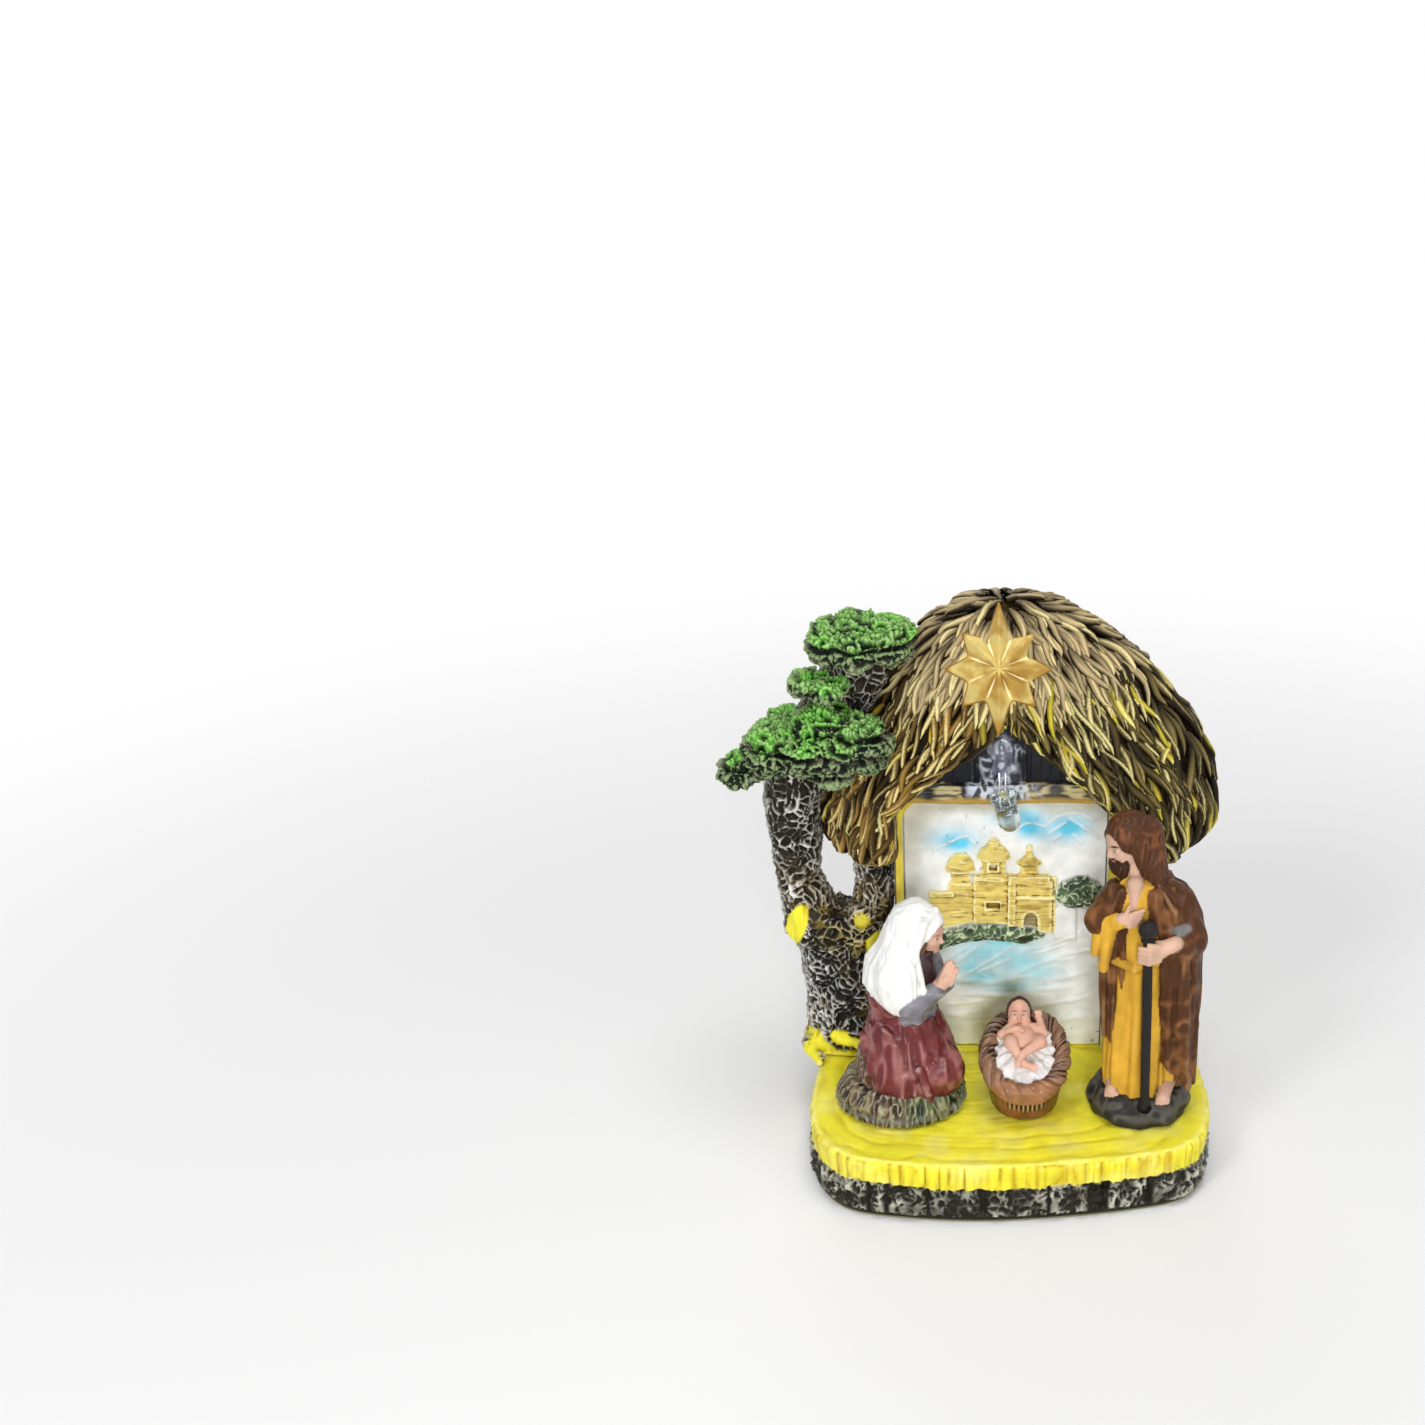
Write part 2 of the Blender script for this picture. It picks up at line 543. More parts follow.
def make_panel():
    """The painted sky and lake panel that lines the recess, with a hill, a bush and a mound."""
    panel = prism("backdrop_panel", scene_outline(-GAP, STAGE), PANEL_FRONT, PANEL_BACK,
                  coat("backdrop_paint", (0.78, 0.82, 0.86), 0.6))
    bush = relief_lump("panel_bush", BUSH_PLACE, BUSH_HALF)
    mound = relief_lump("panel_mound", MOUND_PLACE, MOUND_HALF)
    keep = box("panel_keep", (SCENE_LEFT, PANEL_BACK - 0.2 * PANEL_THICKNESS, STAGE),
               (SCENE_RIGHT, WALL_BACK, SCENE_TOP))
    cut(bush, keep)
    cut(mound, keep)
    return join(panel, hill_band("panel_hill", 0), bush, mound)


def dome(middle, size, steps=6):
    """Points over a round dome, from right to left: size is its half width and height."""
    return [(middle[0] + size[0] * cos(pi * i / steps), middle[1] + size[1] * sin(pi * i / steps))
            for i in range(steps + 1)]


def make_town():
    """The gilt town: stepped walls, a domed hall, a round-topped tower and a curved-roof tower."""
    hall = TOWN_HALL_SIDES[:1] + dome(*TOWN_HALL_DOME) + TOWN_HALL_SIDES[1:]
    left_tower = TOWN_LEFT_SIDES[:2] + dome(*TOWN_LEFT_DOME) + TOWN_LEFT_SIDES[2:]
    line = TOWN_WALLS + TOWN_RIGHT_TOWER + hall + left_tower + TOWN_STEPS
    town = prism("town_relief", [(x * MM, z * MM) for x, z in line], TOWN_FRONT, TOWN_BACK,
                 coat("town_gilt", (0.72, 0.5, 0.18), 0.4, 0.3))
    window = rod("town_window", [side * MM for side in TOWN_WINDOW], TOWN_WINDOW_RADIUS,
                 TOWN_FRONT - MM, TOWN_FRONT + TOWN_CUT, along="Y", sides=16)
    door = prism("town_door", [(x * MM, z * MM) for x, z in TOWN_DOOR_SIDES + dome(*TOWN_DOOR_ARCH)],
                 TOWN_FRONT - MM, TOWN_FRONT + TOWN_CUT)
    bush = relief_lump("town_bush_room", BUSH_PLACE, BUSH_HALF, GAP + 0.1 * MM)
    mound = relief_lump("town_mound_room", MOUND_PLACE, MOUND_HALF, GAP + 0.1 * MM)
    return cut(town, window, door, hill_band("town_hill_room", GAP), bush, mound)


def make_gable():
    """The dark board that closes the gable, with the beam across its foot and a hole for the leads."""
    half_foot = (GABLE_TOP - GAP - BOARD_FOOT) / GABLE_SLOPE
    outline = [(GABLE_MIDDLE + half_foot, BOARD_FOOT), (GABLE_MIDDLE, GABLE_TOP - GAP)]
    if GABLE_MIDDLE - half_foot < WALL_LEFT:
        outline.append((WALL_LEFT, gable_height(WALL_LEFT) - GAP))
    outline.append((max(WALL_LEFT, GABLE_MIDDLE - half_foot), BOARD_FOOT))
    board = prism("gable_board", outline, BOARD_FRONT, BOARD_BACK, coat("gable_black", (0.03, 0.03, 0.035), 0.6))
    half_beam = (GABLE_TOP - BEAM_TOP) / GABLE_SLOPE - MM
    beam = box("gable_beam", (max(WALL_LEFT + 0.4 * MM, GABLE_MIDDLE - half_beam), BEAM_FRONT, BOARD_FOOT),
               (GABLE_MIDDLE + half_beam, BOARD_FRONT + 0.5 * BOARD_THICKNESS, BEAM_TOP))
    hole = rod("gable_hole", (LIGHT_X, LEAD_HOLE_HEIGHT), WIRE_HOLE_RADIUS, BOARD_FRONT - MM, BOARD_BACK + MM,
               along="Y")
    seams = []
    for i in range(4):
        x = WALL_LEFT + SEAM_FIRST + SEAM_SPACING * i
        seams.append(box(f"gable_seam_{i}", (x, BOARD_FRONT - MM, BEAM_TOP + GAP),
                         (x + SEAM_SIZE, BOARD_FRONT + SEAM_SIZE, GABLE_TOP)))
    return cut(join(board, beam), hole, *seams)


def resampled(points, count):
    """Points spread evenly along an open line of corner points."""
    lengths = [0.0]
    for a, b in zip(points, points[1:]):
        lengths.append(lengths[-1] + hypot(b[0] - a[0], b[1] - a[1]))
    spread = []
    k = 0
    for i in range(count):
        goal = lengths[-1] * i / (count - 1)
        while k < len(points) - 2 and lengths[k + 1] < goal:
            k += 1
        t = (goal - lengths[k]) / (lengths[k + 1] - lengths[k])
        spread.append((points[k][0] + t * (points[k + 1][0] - points[k][0]),
                       points[k][1] + t * (points[k + 1][1] - points[k][1])))
    return spread


def thatch_section(y, fullness, lip, tuft):
    """One closed section of the thatch at depth y: its outer line, then its seat on the wall."""
    left = WALL_LEFT - GAP
    right = WALL_RIGHT + GAP
    seat = [(left, EAVE_LEFT), (left, gable_height(left) + GAP - lip), (GABLE_MIDDLE, GABLE_TOP + GAP - lip),
            (right, gable_height(right) + GAP - lip), (right, EAVE_RIGHT)]
    inner = resampled(seat[:2], 4)[:-1] + resampled(seat[1:3], 7)[:-1] + resampled(seat[2:4], 9)
    inner += resampled(seat[3:], 3)[1:]
    outer = resampled([(x * MM, GABLE_TOP + z * MM) for x, z in THATCH_OUTSIDE], len(inner))
    ring = []
    for (ix, iz), (ox, oz) in zip(inner, outer):
        share = fullness + tuft / hypot(ox - ix, oz - iz)
        ring.append(Vector((ix + (ox - ix) * share, y, iz + (oz - iz) * share)))
    return ring + [Vector((x, y, z)) for x, z in reversed(inner)]


def make_thatch():
    """The thatch, lofted from front to back: a drooping lip, combed slopes and a rounded ridge."""
    sections = [(THATCH_FRONT, 0.22, THATCH_LIP, 0), (LIP_BACK - 2 * MM, 0.5, THATCH_LIP, TUFT_DEPTH),
                (LIP_BACK, 0.62, THATCH_LIP, -TUFT_DEPTH), (LIP_BACK + 0.1 * MM, 0.66, 0, 0)]
    depth = THATCH_BACK - LIP_BACK
    for i in range(1, 12):
        share = i / 12
        fullness = 0.66 + 0.34 * sin(min(share / 0.45, 1) * pi / 2) - 0.34 * max(share - 0.6, 0) ** 2 / 0.16
        sections.append((LIP_BACK + depth * share, fullness, 0, TUFT_DEPTH * (-1) ** i))
    sections.append((THATCH_BACK, 0.5, 0, 0))
    rings = [thatch_section(*section) for section in sections]
    shape = bmesh.new()
    rows = [[shape.verts.new(point) for point in ring] for ring in rings]
    count = len(rows[0])
    for low, high in zip(rows, rows[1:]):
        for i in range(count):
            j = (i + 1) % count
            shape.faces.new((low[i], low[j], high[j], high[i]))
    for row in (rows[0], rows[-1]):
        for i in range(count // 2 - 1):
            shape.faces.new((row[i], row[i + 1], row[count - 2 - i], row[count - 1 - i]))
    thatch = to_object("thatch_roof", shape, coat("thatch_straw", (0.5, 0.33, 0.08), 0.8))
    seat = loft("thatch_star_seat", star_seat_rings())
    peg = star_rod("thatch_peg_hole", STAR_PEG + GAP, -STAR_PEG_LENGTH - GAP, 0)
    return cut(thatch, seat, peg, left_limb("thatch_tree_room", GAP))


def star_frame():
    """The star's own frame: its face looks to the front and leans back."""
    turn = Matrix.Rotation(radians(90 - STAR_LEAN), 4, "X")
    return Matrix.Translation(mm(STAR_CENTRE) + Vector((0, 0, GABLE_TOP))) @ turn


def star_rod(name, radius, low, high, sides=20):
    ring = []
    for depth in (low, high):
        ring.append([star_frame() @ Vector((radius * cos(2 * pi * i / sides), radius * sin(2 * pi * i / sides), depth))
                     for i in range(sides)])
    return loft(name, ring)


def star_seat_rings():
    """The room that the thatch leaves for the star."""
    rings = []
    for depth, grow in ((-GAP, 0.6 * MM), (30 * MM, 3 * MM)):
        rings.append([star_frame() @ Vector((p.x, p.y, depth)) for p in star_outline(grow, round_off=0.55)])
    return rings


def star_outline(grow=0.0, round_off=0.0):
    """Eight tips, long, diagonal and wide in turn, with a valley between each two."""
    points = []
    for i in range(16):
        angle = radians(90 - 22.5 * i)
        if i % 2:
            reach = STAR_VALLEY
        elif i % 8 == 0:
            reach = STAR_LONG
        elif i % 4 == 0:
            reach = STAR_WIDE
        else:
            reach = STAR_DIAGONAL
        reach += (STAR_DIAGONAL - STAR_VALLEY) * round_off * (i % 2) + grow
        points.append(Vector((reach * cos(angle), reach * sin(angle))))
    return points


def make_star():
    """The gilt star: every tip has a ridge that climbs to the middle, and a peg on its back."""
    shape = bmesh.new()
    frame = star_frame()
    outline = star_outline()
    back = [shape.verts.new(frame @ Vector((p.x, p.y, 0))) for p in outline]
    front = [shape.verts.new(frame @ Vector((p.x, p.y, STAR_EDGE))) for p in outline]
    apex = shape.verts.new(frame @ Vector((0, 0, STAR_RISE)))
    shape.faces.new(back)
    for i in range(16):
        j = (i + 1) % 16
        shape.faces.new((back[i], back[j], front[j], front[i]))
        shape.faces.new((front[i], front[j], apex))
    star = to_object("star", shape, coat("star_gilt", (0.85, 0.62, 0.2), 0.35, 0.6), smooth=0)
    return join(star, star_rod("star_peg", STAR_PEG, -STAR_PEG_LENGTH, 0.4 * STAR_EDGE))


def limb(name, levels, grow, ridges):
    """A stretch of trunk: ridged ovals, deep enough for its width."""
    rings = []
    for i, (z, x, half) in enumerate(raised(levels, STAGE, 0)):
        depth = min(TREE_DEPTH, half * MM * 1.15)
        end = grow * ((i == len(levels) - 1) - (i == 0))
        rings.append(oval(x * MM, TREE_Y, z * MM + end, half * MM + grow, depth + grow, 20, ridges, 0.05, 0.9 * i))
    return loft(name, rings)


def left_limb(name, grow):
    return limb(name, LEFT_LIMB, grow, 5)


def make_tree():
    """The forked tree: one trunk, a limb up into the leaves and a limb under the eave."""
    tree = limb("tree_trunk", TRUNK, 0, 7)
    tree.data.materials.append(coat("bark", (0.09, 0.07, 0.055), 0.75))
    eave = box("tree_eave_room", (-50 * MM, 0, EAVE_LEFT - GAP), (WALL_RIGHT, 2 * WALL_BACK, GABLE_TOP))
    right = cut(limb("tree_right_limb", RIGHT_LIMB, 0, 5), eave)
    x, y, z = raised([STUB_CENTRE], STAGE)[0]
    stub = tube("tree_stub", [(x, y, z), (x, y + STUB_LENGTH, z - STUB_LENGTH / 3)], [STUB_RADIUS] * 2, sides=12)
    root = tube("tree_root", raised(ROOT, STAGE), ROOT_RADII)
    ribs = [tube(f"tree_rib_{i}", raised(rib, STAGE), [RIB_RADIUS] * 2, sides=8) for i, rib in enumerate(TREE_RIBS)]
    wall_room = box("tree_wall_room", (WALL_LEFT - GAP, 0, 0), (WALL_RIGHT, 2 * WALL_BACK, GABLE_TOP))
    floor = box("tree_floor", (-60 * MM, -10 * MM, 0), (0, 2 * WALL_BACK, STAGE))
    return cut(join(tree, left_limb("tree_left_limb", 0), right, stub, root, *ribs), wall_room, floor)


def make_clump(name, lumps, colour, rooms):
    """One clump of leaves, from overlapping lumps, hollowed where the tree goes through it."""
    parts = []
    for i, spot in enumerate(raised(lumps, STAGE)):
        parts.append(lump(f"{name}_lump_{i}", spot[:3], spot[3:], 3 if max(spot[3:]) > SMALL_LUMP else 2))
    first, *others = parts
    first.name = name
    first.data.materials.append(coat(f"{name}_green", colour, 0.6))
    join(first, *others)
    return cut(first, *rooms)


def thatch_room(name):
    """The thatch, a clearance larger, as a room to keep free of leaves."""
    rings = []
    for y, fullness in ((THATCH_FRONT - 2 * GAP, 0.3), (LIP_BACK, 0.72), (14.4 * MM, 1.0),
                        (THATCH_BACK + GAP, 1.0)):
        outer = thatch_section(y, fullness, 0, TUFT_DEPTH + 2 * GAP)
        half = len(outer) // 2
        rings.append(outer[:half])
    shape = bmesh.new()
    rows = [[shape.verts.new(p) for p in ring] for ring in rings]
    feet = [[shape.verts.new((GABLE_MIDDLE, ring[0].y, EAVE_LEFT))] for ring in rings]
    for (low, low_foot), (high, high_foot) in zip(zip(rows, feet), list(zip(rows, feet))[1:]):
        a = low + low_foot
        b = high + high_foot
        for i in range(len(a)):
            j = (i + 1) % len(a)
            shape.faces.new((a[i], a[j], b[j], b[i]))
    for row, foot in ((rows[0], feet[0]), (rows[-1], feet[-1])):
        for i in range(len(row) - 1):
            shape.faces.new((row[i], row[i + 1], foot[0]))
    return to_object(name, shape)


def clump_rooms(name, lumps):
    """The lumps of a clump, a clearance larger, for its neighbour to keep free."""
    grown = 2 * GAP / MM
    return [lump(f"{name}_{i}", spot[:3], [half + grown for half in spot[3:]], 2)
            for i, spot in enumerate(raised(lumps, STAGE))]


def make_leaves():
    make_clump("foliage_middle", MIDDLE_CLUMP, (0.17, 0.38, 0.05),
               [left_limb("middle_tree_room", GAP), thatch_room("middle_thatch_room")])
    for name, lumps, colour in (("low", LOW_CLUMP, (0.16, 0.36, 0.05)), ("top", TOP_CLUMP, (0.15, 0.34, 0.05))):
        rooms = [left_limb(f"{name}_tree_room", GAP), thatch_room(f"{name}_thatch_room")]
        make_clump(f"foliage_{name}", lumps, colour, rooms + clump_rooms(f"{name}_middle_room", MIDDLE_CLUMP))


def make_mother():
    """The kneeling mother: a veiled head, a bell of robe, arms to joined hands, on a straw mound."""
    figure = stack("mother_figure", MOTHER_ROBE, coat("mother_robe", (0.25, 0.03, 0.04), 0.5), 20, 7, 0.05)
    mound = stack("mother_mound", MOTHER_MOUND, None, 20, 9, 0.03)
    arm = tube("mother_arm", raised(MOTHER_ARM, STAGE), MOTHER_ARM_RADII)
    far_arm = tube("mother_far_arm", raised(MOTHER_FAR_ARM, STAGE), MOTHER_FAR_ARM_RADII)
    hands = tube("mother_hands", raised(MOTHER_HANDS, STAGE), MOTHER_HAND_RADII, sides=8)
    return join(figure, mound, arm, far_arm, hands)


def make_father():
    """The standing father: bare feet on a rock, a robe and cloak, long hair and beard."""
    figure = stack("father_figure", FATHER_ROBE, coat("father_cloak", (0.11, 0.06, 0.03), 0.6), 20, 6, 0.05)
    rock = stack("father_rock", FATHER_ROCK, None, 20, 5, 0.04)
    head = stack("father_head", FATHER_HEAD, None, 16)
    beard = tube("father_beard", raised(FATHER_BEARD, STAGE), FATHER_BEARD_RADII)
    near_arm = tube("father_near_arm", raised(FATHER_NEAR_ARM, STAGE), FATHER_NEAR_ARM_RADII)
    far_arm = tube("father_far_arm", raised(FATHER_FAR_ARM, STAGE), FATHER_FAR_ARM_RADII)
    feet = []
    for i, (x, y) in enumerate(FATHER_FEET):
        line = [(x + dx, y + dy, dz) for dx, dy, dz in FATHER_FOOT_LINE]
        feet.append(tube(f"father_foot_{i}", raised(line, STAGE), FATHER_FOOT_RADII, sides=9))
    join(figure, rock, *feet, head, beard, near_arm, far_arm)
    return cut(figure, staff("father_staff_room", GAP))


def staff(name, grow, material=None):
    """The staff: a straight stick with a ball end."""
    top, foot = [mm(point) for point in raised([STAFF_TOP, STAFF_FOOT], STAGE)]
    foot.z -= grow
    knob = []
    for degrees in (-60, -20, 20, 55, 80):
        reach = STAFF_KNOB * cos(radians(degrees)) + grow
        knob.append((reach, top.z - STAFF_KNOB + STAFF_KNOB * sin(radians(degrees))))
    levels = [(STAFF_RADIUS + grow, foot.z), (STAFF_RADIUS + grow, knob[0][1] - 0.4 * MM)] + knob
    rings = []
    for radius, z in levels:
        share = (z - foot.z) / (top.z - foot.z)
        middle = foot.lerp(top, share)
        rings.append(oval(middle.x, middle.y, z, radius, radius, 12))
    return loft(name, rings, material)


def make_staff():
    return staff("father_staff", 0, coat("staff_black", (0.02, 0.02, 0.02), 0.4))


def manger_ring(height_share, swell, sides=24):
    """A ring of the basket, level at its foot and tilted to the front at its rim."""
    tilt = radians(MANGER_TILT) * height_share
    middle_z = STAGE + MANGER_HEIGHT * height_share
    wide = MANGER_FOOT + (MANGER_RIM_WIDE - MANGER_FOOT) * height_share + swell
    long = MANGER_FOOT + (MANGER_RIM_LONG - MANGER_FOOT) * height_share + swell
    ring = []
    for i in range(sides):
        angle = 2 * pi * i / sides
        along = long * sin(angle)
        ring.append(Vector((MANGER_X + wide * cos(angle), MANGER_Y + along * cos(tilt),
                            middle_z + along * sin(tilt))))
    return ring


def hollow_ring(depth, inset, sides=24):
    """A ring of the basket's hollow, at a depth below the tilted rim."""
    tilt = radians(MANGER_TILT)
    down = Vector((0, sin(tilt), -cos(tilt))) * depth
    middle = Vector((MANGER_X, MANGER_Y, MANGER_RIM)) + down
    ring = []
    for i in range(sides):
        angle = 2 * pi * i / sides
        along = (MANGER_RIM_LONG - inset) * sin(angle)
        ring.append(middle + Vector(((MANGER_RIM_WIDE - inset) * cos(angle), along * cos(tilt), along * sin(tilt))))
    return ring


def make_manger():
    """The round wicker crib: a waisted basket with a rolled rim and a shallow hollow."""
    rings = [manger_ring(share, swell * MM) for share, swell in MANGER_WEAVE]
    basket = loft("manger", rings, coat("wicker", (0.2, 0.1, 0.04), 0.7))
    hollow = loft("manger_hollow", [hollow_ring(-3 * MM, MANGER_WALL - GAP), hollow_ring(0, MANGER_WALL),
                                    hollow_ring(MANGER_HOLLOW, MANGER_WALL + 2.6 * MM)])
    return cut(basket, hollow)


def make_baby():
    """The baby on a folded cloth: a round head to the back, arms out and legs crossed."""
    cloth = loft("baby_figure", [hollow_ring(MANGER_HOLLOW - GAP, MANGER_WALL + 3 * MM),
                                 hollow_ring(1.2 * MM, MANGER_WALL + 1.2 * MM),
                                 hollow_ring(-0.9 * MM, MANGER_WALL + 0.5 * MM),
                                 hollow_ring(-1.8 * MM, MANGER_WALL + 2.2 * MM)],
                 coat("baby_cloth", (0.85, 0.84, 0.8), 0.7))
    middle = Vector((MANGER_X, MANGER_Y, MANGER_RIM)) / MM

    def placed(points):
        return [middle + Vector(point) for point in points]

    head_place, body_place = placed([BABY_HEAD_PLACE, BABY_BODY_PLACE])
    body = lump("baby_body", body_place, BABY_BODY_HALF, 2)
    head = lump("baby_head", head_place, [BABY_HEAD / MM] * 3, 2)
    join(cloth, body, head)
    limbs = ((BABY_LEFT_ARM, BABY_ARM_RADII), (BABY_RIGHT_ARM, BABY_ARM_RADII),
             (BABY_LEFT_LEG, BABY_LEG_RADII), (BABY_RIGHT_LEG, BABY_LEG_RADII))
    for i, (line, radii) in enumerate(limbs):
        join(cloth, tube(f"baby_limb_{i}", placed(line), radii, sides=8))
    return cloth


def led_frame():
    """The lamp's own frame: +Z runs from its flange down to its dome."""
    turn = Matrix.Rotation(radians(180 - LED_LEAN), 4, "Y")
    return Matrix.Translation((LIGHT_X, LED_Y, BEAM_TOP - LED_BELOW_BEAM_TOP)) @ turn


def make_led():
    """The clear 5 mm lens: a flange, a straight barrel and a half-round nose."""
    profile = [(LED_FLANGE, 0), (LED_FLANGE, LED_FLANGE_HEIGHT), (LED_RADIUS, LED_FLANGE_HEIGHT),
               (LED_RADIUS, LED_LENGTH - LED_RADIUS)]
    for degrees in (20, 40, 60, 78):
        profile.append((LED_RADIUS * cos(radians(degrees)), LED_LENGTH - LED_RADIUS * (1 - sin(radians(degrees)))))
    rings = []
    for radius, depth in profile:
        rings.append([led_frame() @ Vector((radius * cos(2 * pi * i / 20), radius * sin(2 * pi * i / 20), depth))
                      for i in range(20)])
    return loft("led_lamp", rings, coat("clear_lens", (0.9, 0.92, 0.95), 0.05))


def cable(name, points, radius, colour, roughness=0.4, metallic=0.0, fill=4, sides=6):
    """A round wire along a smooth curve through its route's points, in metres."""
    count = len(points)
    route = []
    for i in range(count - 1):
        p0 = points[max(i - 1, 0)]
        p1, p2 = points[i], points[i + 1]
        p3 = points[min(i + 2, count - 1)]
        for step in range(fill):
            t = step / fill
            route.append(0.5 * (2 * p1 + (p2 - p0) * t + (2 * p0 - 5 * p1 + 4 * p2 - p3) * t * t
                                + (3 * p1 - p0 - 3 * p2 + p3) * t ** 3))
    route.append(points[-1])
    made = tube(name, [p / MM for p in route], [radius] * len(route), sides=sides)
    made.data.materials.append(coat(f"{name}_skin", colour, roughness, metallic))
    return made


def lead_route(side, grow=0.0):
    """A lead's way up from the lamp, back through the board and into the wall."""
    start = led_frame() @ Vector((-side * LEAD_SPACING / 2, 0, -GAP + grow))
    x = LIGHT_X + side * LEAD_SPACING / 2
    return [start, Vector((x, start.y + 2 * GAP, BEAM_TOP + 2 * MM)),
            Vector((x, BEAM_FRONT - 0.8 * MM, LEAD_HOLE_HEIGHT - 0.7 * MM)),
            Vector((x, BOARD_FRONT + MM, LEAD_HOLE_HEIGHT)), Vector((x, WALL_FRONT + 4 * MM, LEAD_HOLE_HEIGHT))]


def make_leads():
    made = []
    for name, side in (("led_lead_long", 1), ("led_lead_short", -1)):
        made.append(cable(name, lead_route(side), LEAD_RADIUS, (0.7, 0.7, 0.68), 0.3, 1.0))
    return made


def make_wires():
    """Two insulated wires from the leads, down the wall's shaft and forward to the battery case."""
    made = []
    low = 0.55 * CASE_TOP
    for name, side, colour in (("wire_red", 1, (0.5, 0.02, 0.02)), ("wire_black", -1, (0.02, 0.02, 0.02))):
        x = LIGHT_X + side * LEAD_SPACING / 2 + side * 0.1 * MM
        end = Vector((x, CASE_Y + CASE_HALF + GAP + WIRE_RADIUS, low))
        route = [Vector((x, WALL_FRONT + 4 * MM + GAP, LEAD_HOLE_HEIGHT)),
                 Vector((x, WIRE_SHAFT_Y - 1.4 * MM, LEAD_HOLE_HEIGHT - 0.5 * MM)),
                 Vector((x, WIRE_SHAFT_Y, LEAD_HOLE_HEIGHT - 3 * MM)), Vector((x, WIRE_SHAFT_Y, 50 * MM)),
                 Vector((x, WIRE_SHAFT_Y, 12 * MM)), Vector((x, WIRE_SHAFT_Y - 2 * MM, low + MM)),
                 Vector((x, WIRE_SHAFT_Y - 5 * MM, low)), end]
        made.append(cable(name, route, WIRE_RADIUS, colour))
    return made


def make_glue():
    """The bead of hot glue that holds the leads to the board."""
    place = Vector((LIGHT_X, BOARD_FRONT - GLUE_PROUD, LEAD_HOLE_HEIGHT + GLUE_ABOVE_HOLE)) / MM
    bead = lump("glue_bead", place, GLUE_HALF)
    bead.data.materials.append(coat("clear_glue", (0.6, 0.62, 0.64), 0.25))
    board = box("glue_board_room", (WALL_LEFT, BOARD_FRONT - GAP, BOARD_FOOT), (WALL_RIGHT, WALL_BACK, GABLE_TOP))
    rooms = []
    for side in (1, -1):
        rooms.append(cable(f"glue_lead_room_{side}", lead_route(side, GAP), LEAD_RADIUS + GAP / 2, (1, 1, 1)))
    return cut(bead, board, *rooms)


def make_case():
    """The battery case: a round bay under a lift-off cover and a bay for the slide switch."""
    case = box("battery_case", (CASE_LEFT, CASE_Y - CASE_HALF, CASE_BOTTOM), (CASE_RIGHT, CASE_Y + CASE_HALF, CASE_TOP),
               coat("case_black", (0.03, 0.03, 0.03), 0.45))
    bay = rod("case_bay", (LIGHT_X, CASE_Y), BAY_RADIUS, 0, BAY_CEILING, sides=48)
    seat = box("case_seat", (LIGHT_X - COVER_HALF - GAP, CASE_Y - COVER_HALF - GAP, 0),
               (LIGHT_X + COVER_HALF + GAP, CASE_Y + COVER_HALF + GAP, COVER_TOP + GAP))
    screw_hole = rod("case_screw_hole", (SCREW_X, SCREW_Y), SCREW_RADIUS + GAP, 0, BAY_CEILING)
    switch_bay = box("case_switch_bay",
                     (SWITCH_X - SWITCH_WIDTH / 2 - GAP, CASE_Y - SWITCH_LENGTH / 2 - GAP, COVER_TOP),
                     (SWITCH_X + SWITCH_WIDTH / 2 + GAP, CASE_Y + SWITCH_LENGTH / 2 + GAP, CASE_TOP + MM))
    slot = box("case_knob_slot",
               (SWITCH_X - KNOB_WIDTH / 2 - GAP, CASE_Y - (KNOB_LENGTH + SWITCH_TRAVEL) / 2 - GAP, 0),
               (SWITCH_X + KNOB_WIDTH / 2 + GAP, CASE_Y + (KNOB_LENGTH + SWITCH_TRAVEL) / 2 + GAP, CASE_TOP))
    door = box("case_wire_door", (LIGHT_X - WIRE_HOLE_RADIUS, CASE_Y + CELL_RADIUS / 2, CELL_TOP + GAP),
               (LIGHT_X + WIRE_HOLE_RADIUS, CASE_Y + CASE_HALF + MM, BAY_CEILING))
    link = box("case_link_door", (LIGHT_X + BAY_RADIUS - MM, CASE_Y + CLIP_LEFT - GAP, CELL_BOTTOM + MM),
               (SWITCH_X, CASE_Y + CLIP_LEFT + CLIP_WIDTH + GAP, BAY_CEILING))
    return cut(case, bay, seat, screw_hole, switch_bay, slot, door, link)


def make_cover():
    """The cell's cover: a plate with a finger notch and a sunk screw hole."""
    cover = box("battery_cover", (LIGHT_X - COVER_HALF, CASE_Y - COVER_HALF, CASE_BOTTOM),
                (LIGHT_X + COVER_HALF, CASE_Y + COVER_HALF, COVER_TOP), coat("cover_black", (0.035, 0.035, 0.035), 0.5))
    hole = rod("cover_hole", (SCREW_X, SCREW_Y), SCREW_RADIUS + GAP, 0, COVER_TOP + MM)
    sink = rod("cover_sink", (SCREW_X, SCREW_Y), SCREW_HEAD_RADIUS + GAP, 0, CASE_BOTTOM + COVER_THICKNESS / 2)
    notch = rod("cover_notch", (LIGHT_X + 3 * MM, CASE_Y + COVER_HALF), 2.4 * MM, 0, CASE_BOTTOM + COVER_THICKNESS / 2)
    return cut(cover, hole, sink, notch)


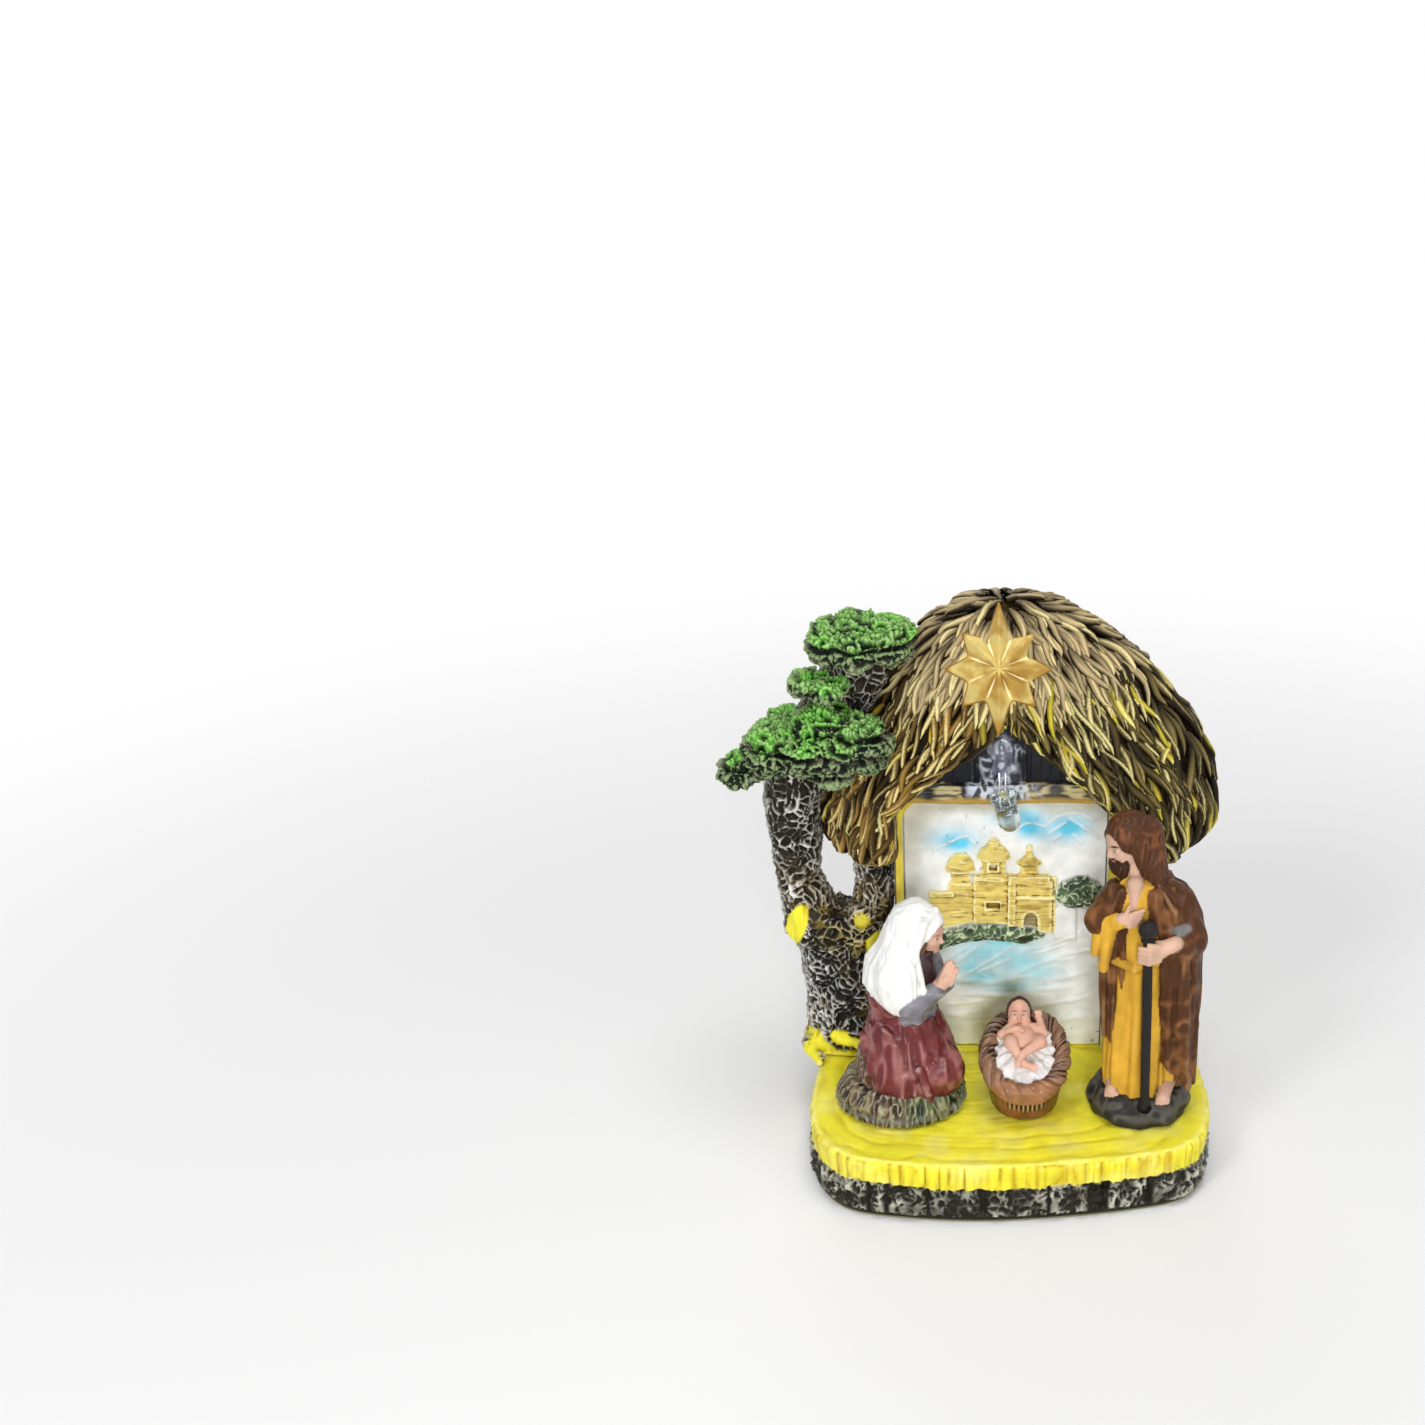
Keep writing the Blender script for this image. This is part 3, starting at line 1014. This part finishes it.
def make_screw():
    """The cover's small screw: a round head with a slot across it."""
    head_top = CASE_BOTTOM + COVER_THICKNESS / 2 - GAP
    head_low = head_top - SCREW_HEAD_HEIGHT
    screw = rod("cover_screw", (SCREW_X, SCREW_Y), SCREW_HEAD_RADIUS, head_low, head_top,
                material=coat("screw_steel", (0.6, 0.6, 0.6), 0.3, 1.0))
    shank = rod("screw_shank", (SCREW_X, SCREW_Y), SCREW_RADIUS, head_top - 0.3 * MM, head_top + SCREW_LENGTH)
    slot = box("screw_slot", (SCREW_X - SCREW_HEAD_RADIUS, SCREW_Y - 0.25 * MM, head_low - MM),
               (SCREW_X + SCREW_HEAD_RADIUS, SCREW_Y + 0.25 * MM, head_low + 0.35 * MM))
    return cut(join(screw, shank), slot)


def make_cell():
    """The 2032 coin cell, with the step between its can and its smaller cap."""
    radii = [(CELL_RADIUS - 0.3 * MM, 0), (CELL_RADIUS, 0.3 * MM), (CELL_RADIUS, CELL_HEIGHT - 0.6 * MM),
             (CELL_RADIUS - 0.4 * MM, CELL_HEIGHT - 0.3 * MM), (CELL_RADIUS - 1.2 * MM, CELL_HEIGHT - 0.3 * MM),
             (CELL_RADIUS - 1.3 * MM, CELL_HEIGHT)]
    rings = [oval(LIGHT_X, CASE_Y, CELL_BOTTOM + z, radius, radius, 28) for radius, z in radii]
    return loft("coin_cell", rings, coat("cell_steel", (0.65, 0.65, 0.64), 0.3, 1.0))


def make_contacts():
    """A sprung strip over the cell's cap, and a clip on the edge of its can that leads to the switch."""
    top = BAY_CEILING - GAP
    front = CASE_Y - SPRING_FRONT
    back = CASE_Y + CASE_HALF - GAP
    bow = [(CASE_Y - SPRING_HALF_SPAN * cos(pi * i / 8), top - SPRING_DROP * sin(pi * i / 8)) for i in range(9)]
    arch = [(front, top), (front, top - CONTACT_THICKNESS)]
    arch += [(y, z - CONTACT_THICKNESS) for y, z in bow]
    arch += [(back, top - CONTACT_THICKNESS), (back, top)] + bow[:0:-1]
    spring = prism("spring_guide", arch, LIGHT_X - SPRING_HALF_WIDTH, LIGHT_X + SPRING_HALF_WIDTH)
    spring.name = "negative_spring"
    spring.data.materials.append(coat("spring_brass", (0.7, 0.55, 0.25), 0.35, 1.0))
    for vertex in spring.data.vertices:
        across, along, up = vertex.co.y, vertex.co.x, vertex.co.z
        vertex.co = (across, along, up)
    spring.data.flip_normals()
    wall = LIGHT_X + CELL_RADIUS + 0.05 * MM
    low = CELL_BOTTOM + 0.4 * CELL_HEIGHT
    clip = box("positive_clip", (wall, CASE_Y + CLIP_LEFT, low),
               (SWITCH_X - SWITCH_WIDTH / 2 - GAP / 2, CASE_Y + CLIP_LEFT + CLIP_WIDTH, low + CONTACT_THICKNESS),
               coat("clip_brass", (0.7, 0.55, 0.25), 0.35, 1.0))
    return spring, clip


def make_switch():
    """The slide switch: a body with three pins, and its knob in the case's slot."""
    low = COVER_TOP + GAP
    body = box("switch_body", (SWITCH_X - SWITCH_WIDTH / 2, CASE_Y - SWITCH_LENGTH / 2, low),
               (SWITCH_X + SWITCH_WIDTH / 2, CASE_Y + SWITCH_LENGTH / 2, low + SWITCH_HEIGHT),
               coat("switch_steel", (0.55, 0.55, 0.55), 0.35, 1.0))
    slot = box("switch_slot",
               (SWITCH_X - KNOB_WIDTH / 2 - GAP, CASE_Y - (KNOB_LENGTH + SWITCH_TRAVEL) / 2 - GAP, low - MM),
               (SWITCH_X + KNOB_WIDTH / 2 + GAP, CASE_Y + (KNOB_LENGTH + SWITCH_TRAVEL) / 2 + GAP, low + 1.5 * MM))
    pins = []
    for i in (-1, 0, 1):
        y = CASE_Y + 2.5 * MM * i
        pins.append(box(f"switch_pin_{i + 1}", (SWITCH_X - 0.4 * MM, y - 0.25 * MM, low + SWITCH_HEIGHT - 0.4 * MM),
                        (SWITCH_X + 0.4 * MM, y + 0.25 * MM, CASE_TOP - GAP)))
    join(body, *pins)
    cut(body, slot)
    off_y = CASE_Y - SWITCH_TRAVEL / 2
    knob = box("switch_slider", (-KNOB_WIDTH / 2, -KNOB_LENGTH / 2, KNOB_REACH - CASE_BOTTOM),
               (KNOB_WIDTH / 2, KNOB_LENGTH / 2, low + 1.2 * MM - CASE_BOTTOM), coat("knob_black", (0.05, 0.05, 0.05), 0.4))
    knob.location = (SWITCH_X, off_y, CASE_BOTTOM)
    return body, knob


clear_scene()
make_base()
make_wall()
make_panel()
make_town()
make_gable()
make_thatch()
make_star()
make_tree()
make_leaves()
make_mother()
make_father()
make_staff()
make_manger()
make_baby()
make_led()
make_leads()
make_wires()
make_glue()
make_case()
make_cover()
make_screw()
make_cell()
make_contacts()
make_switch()
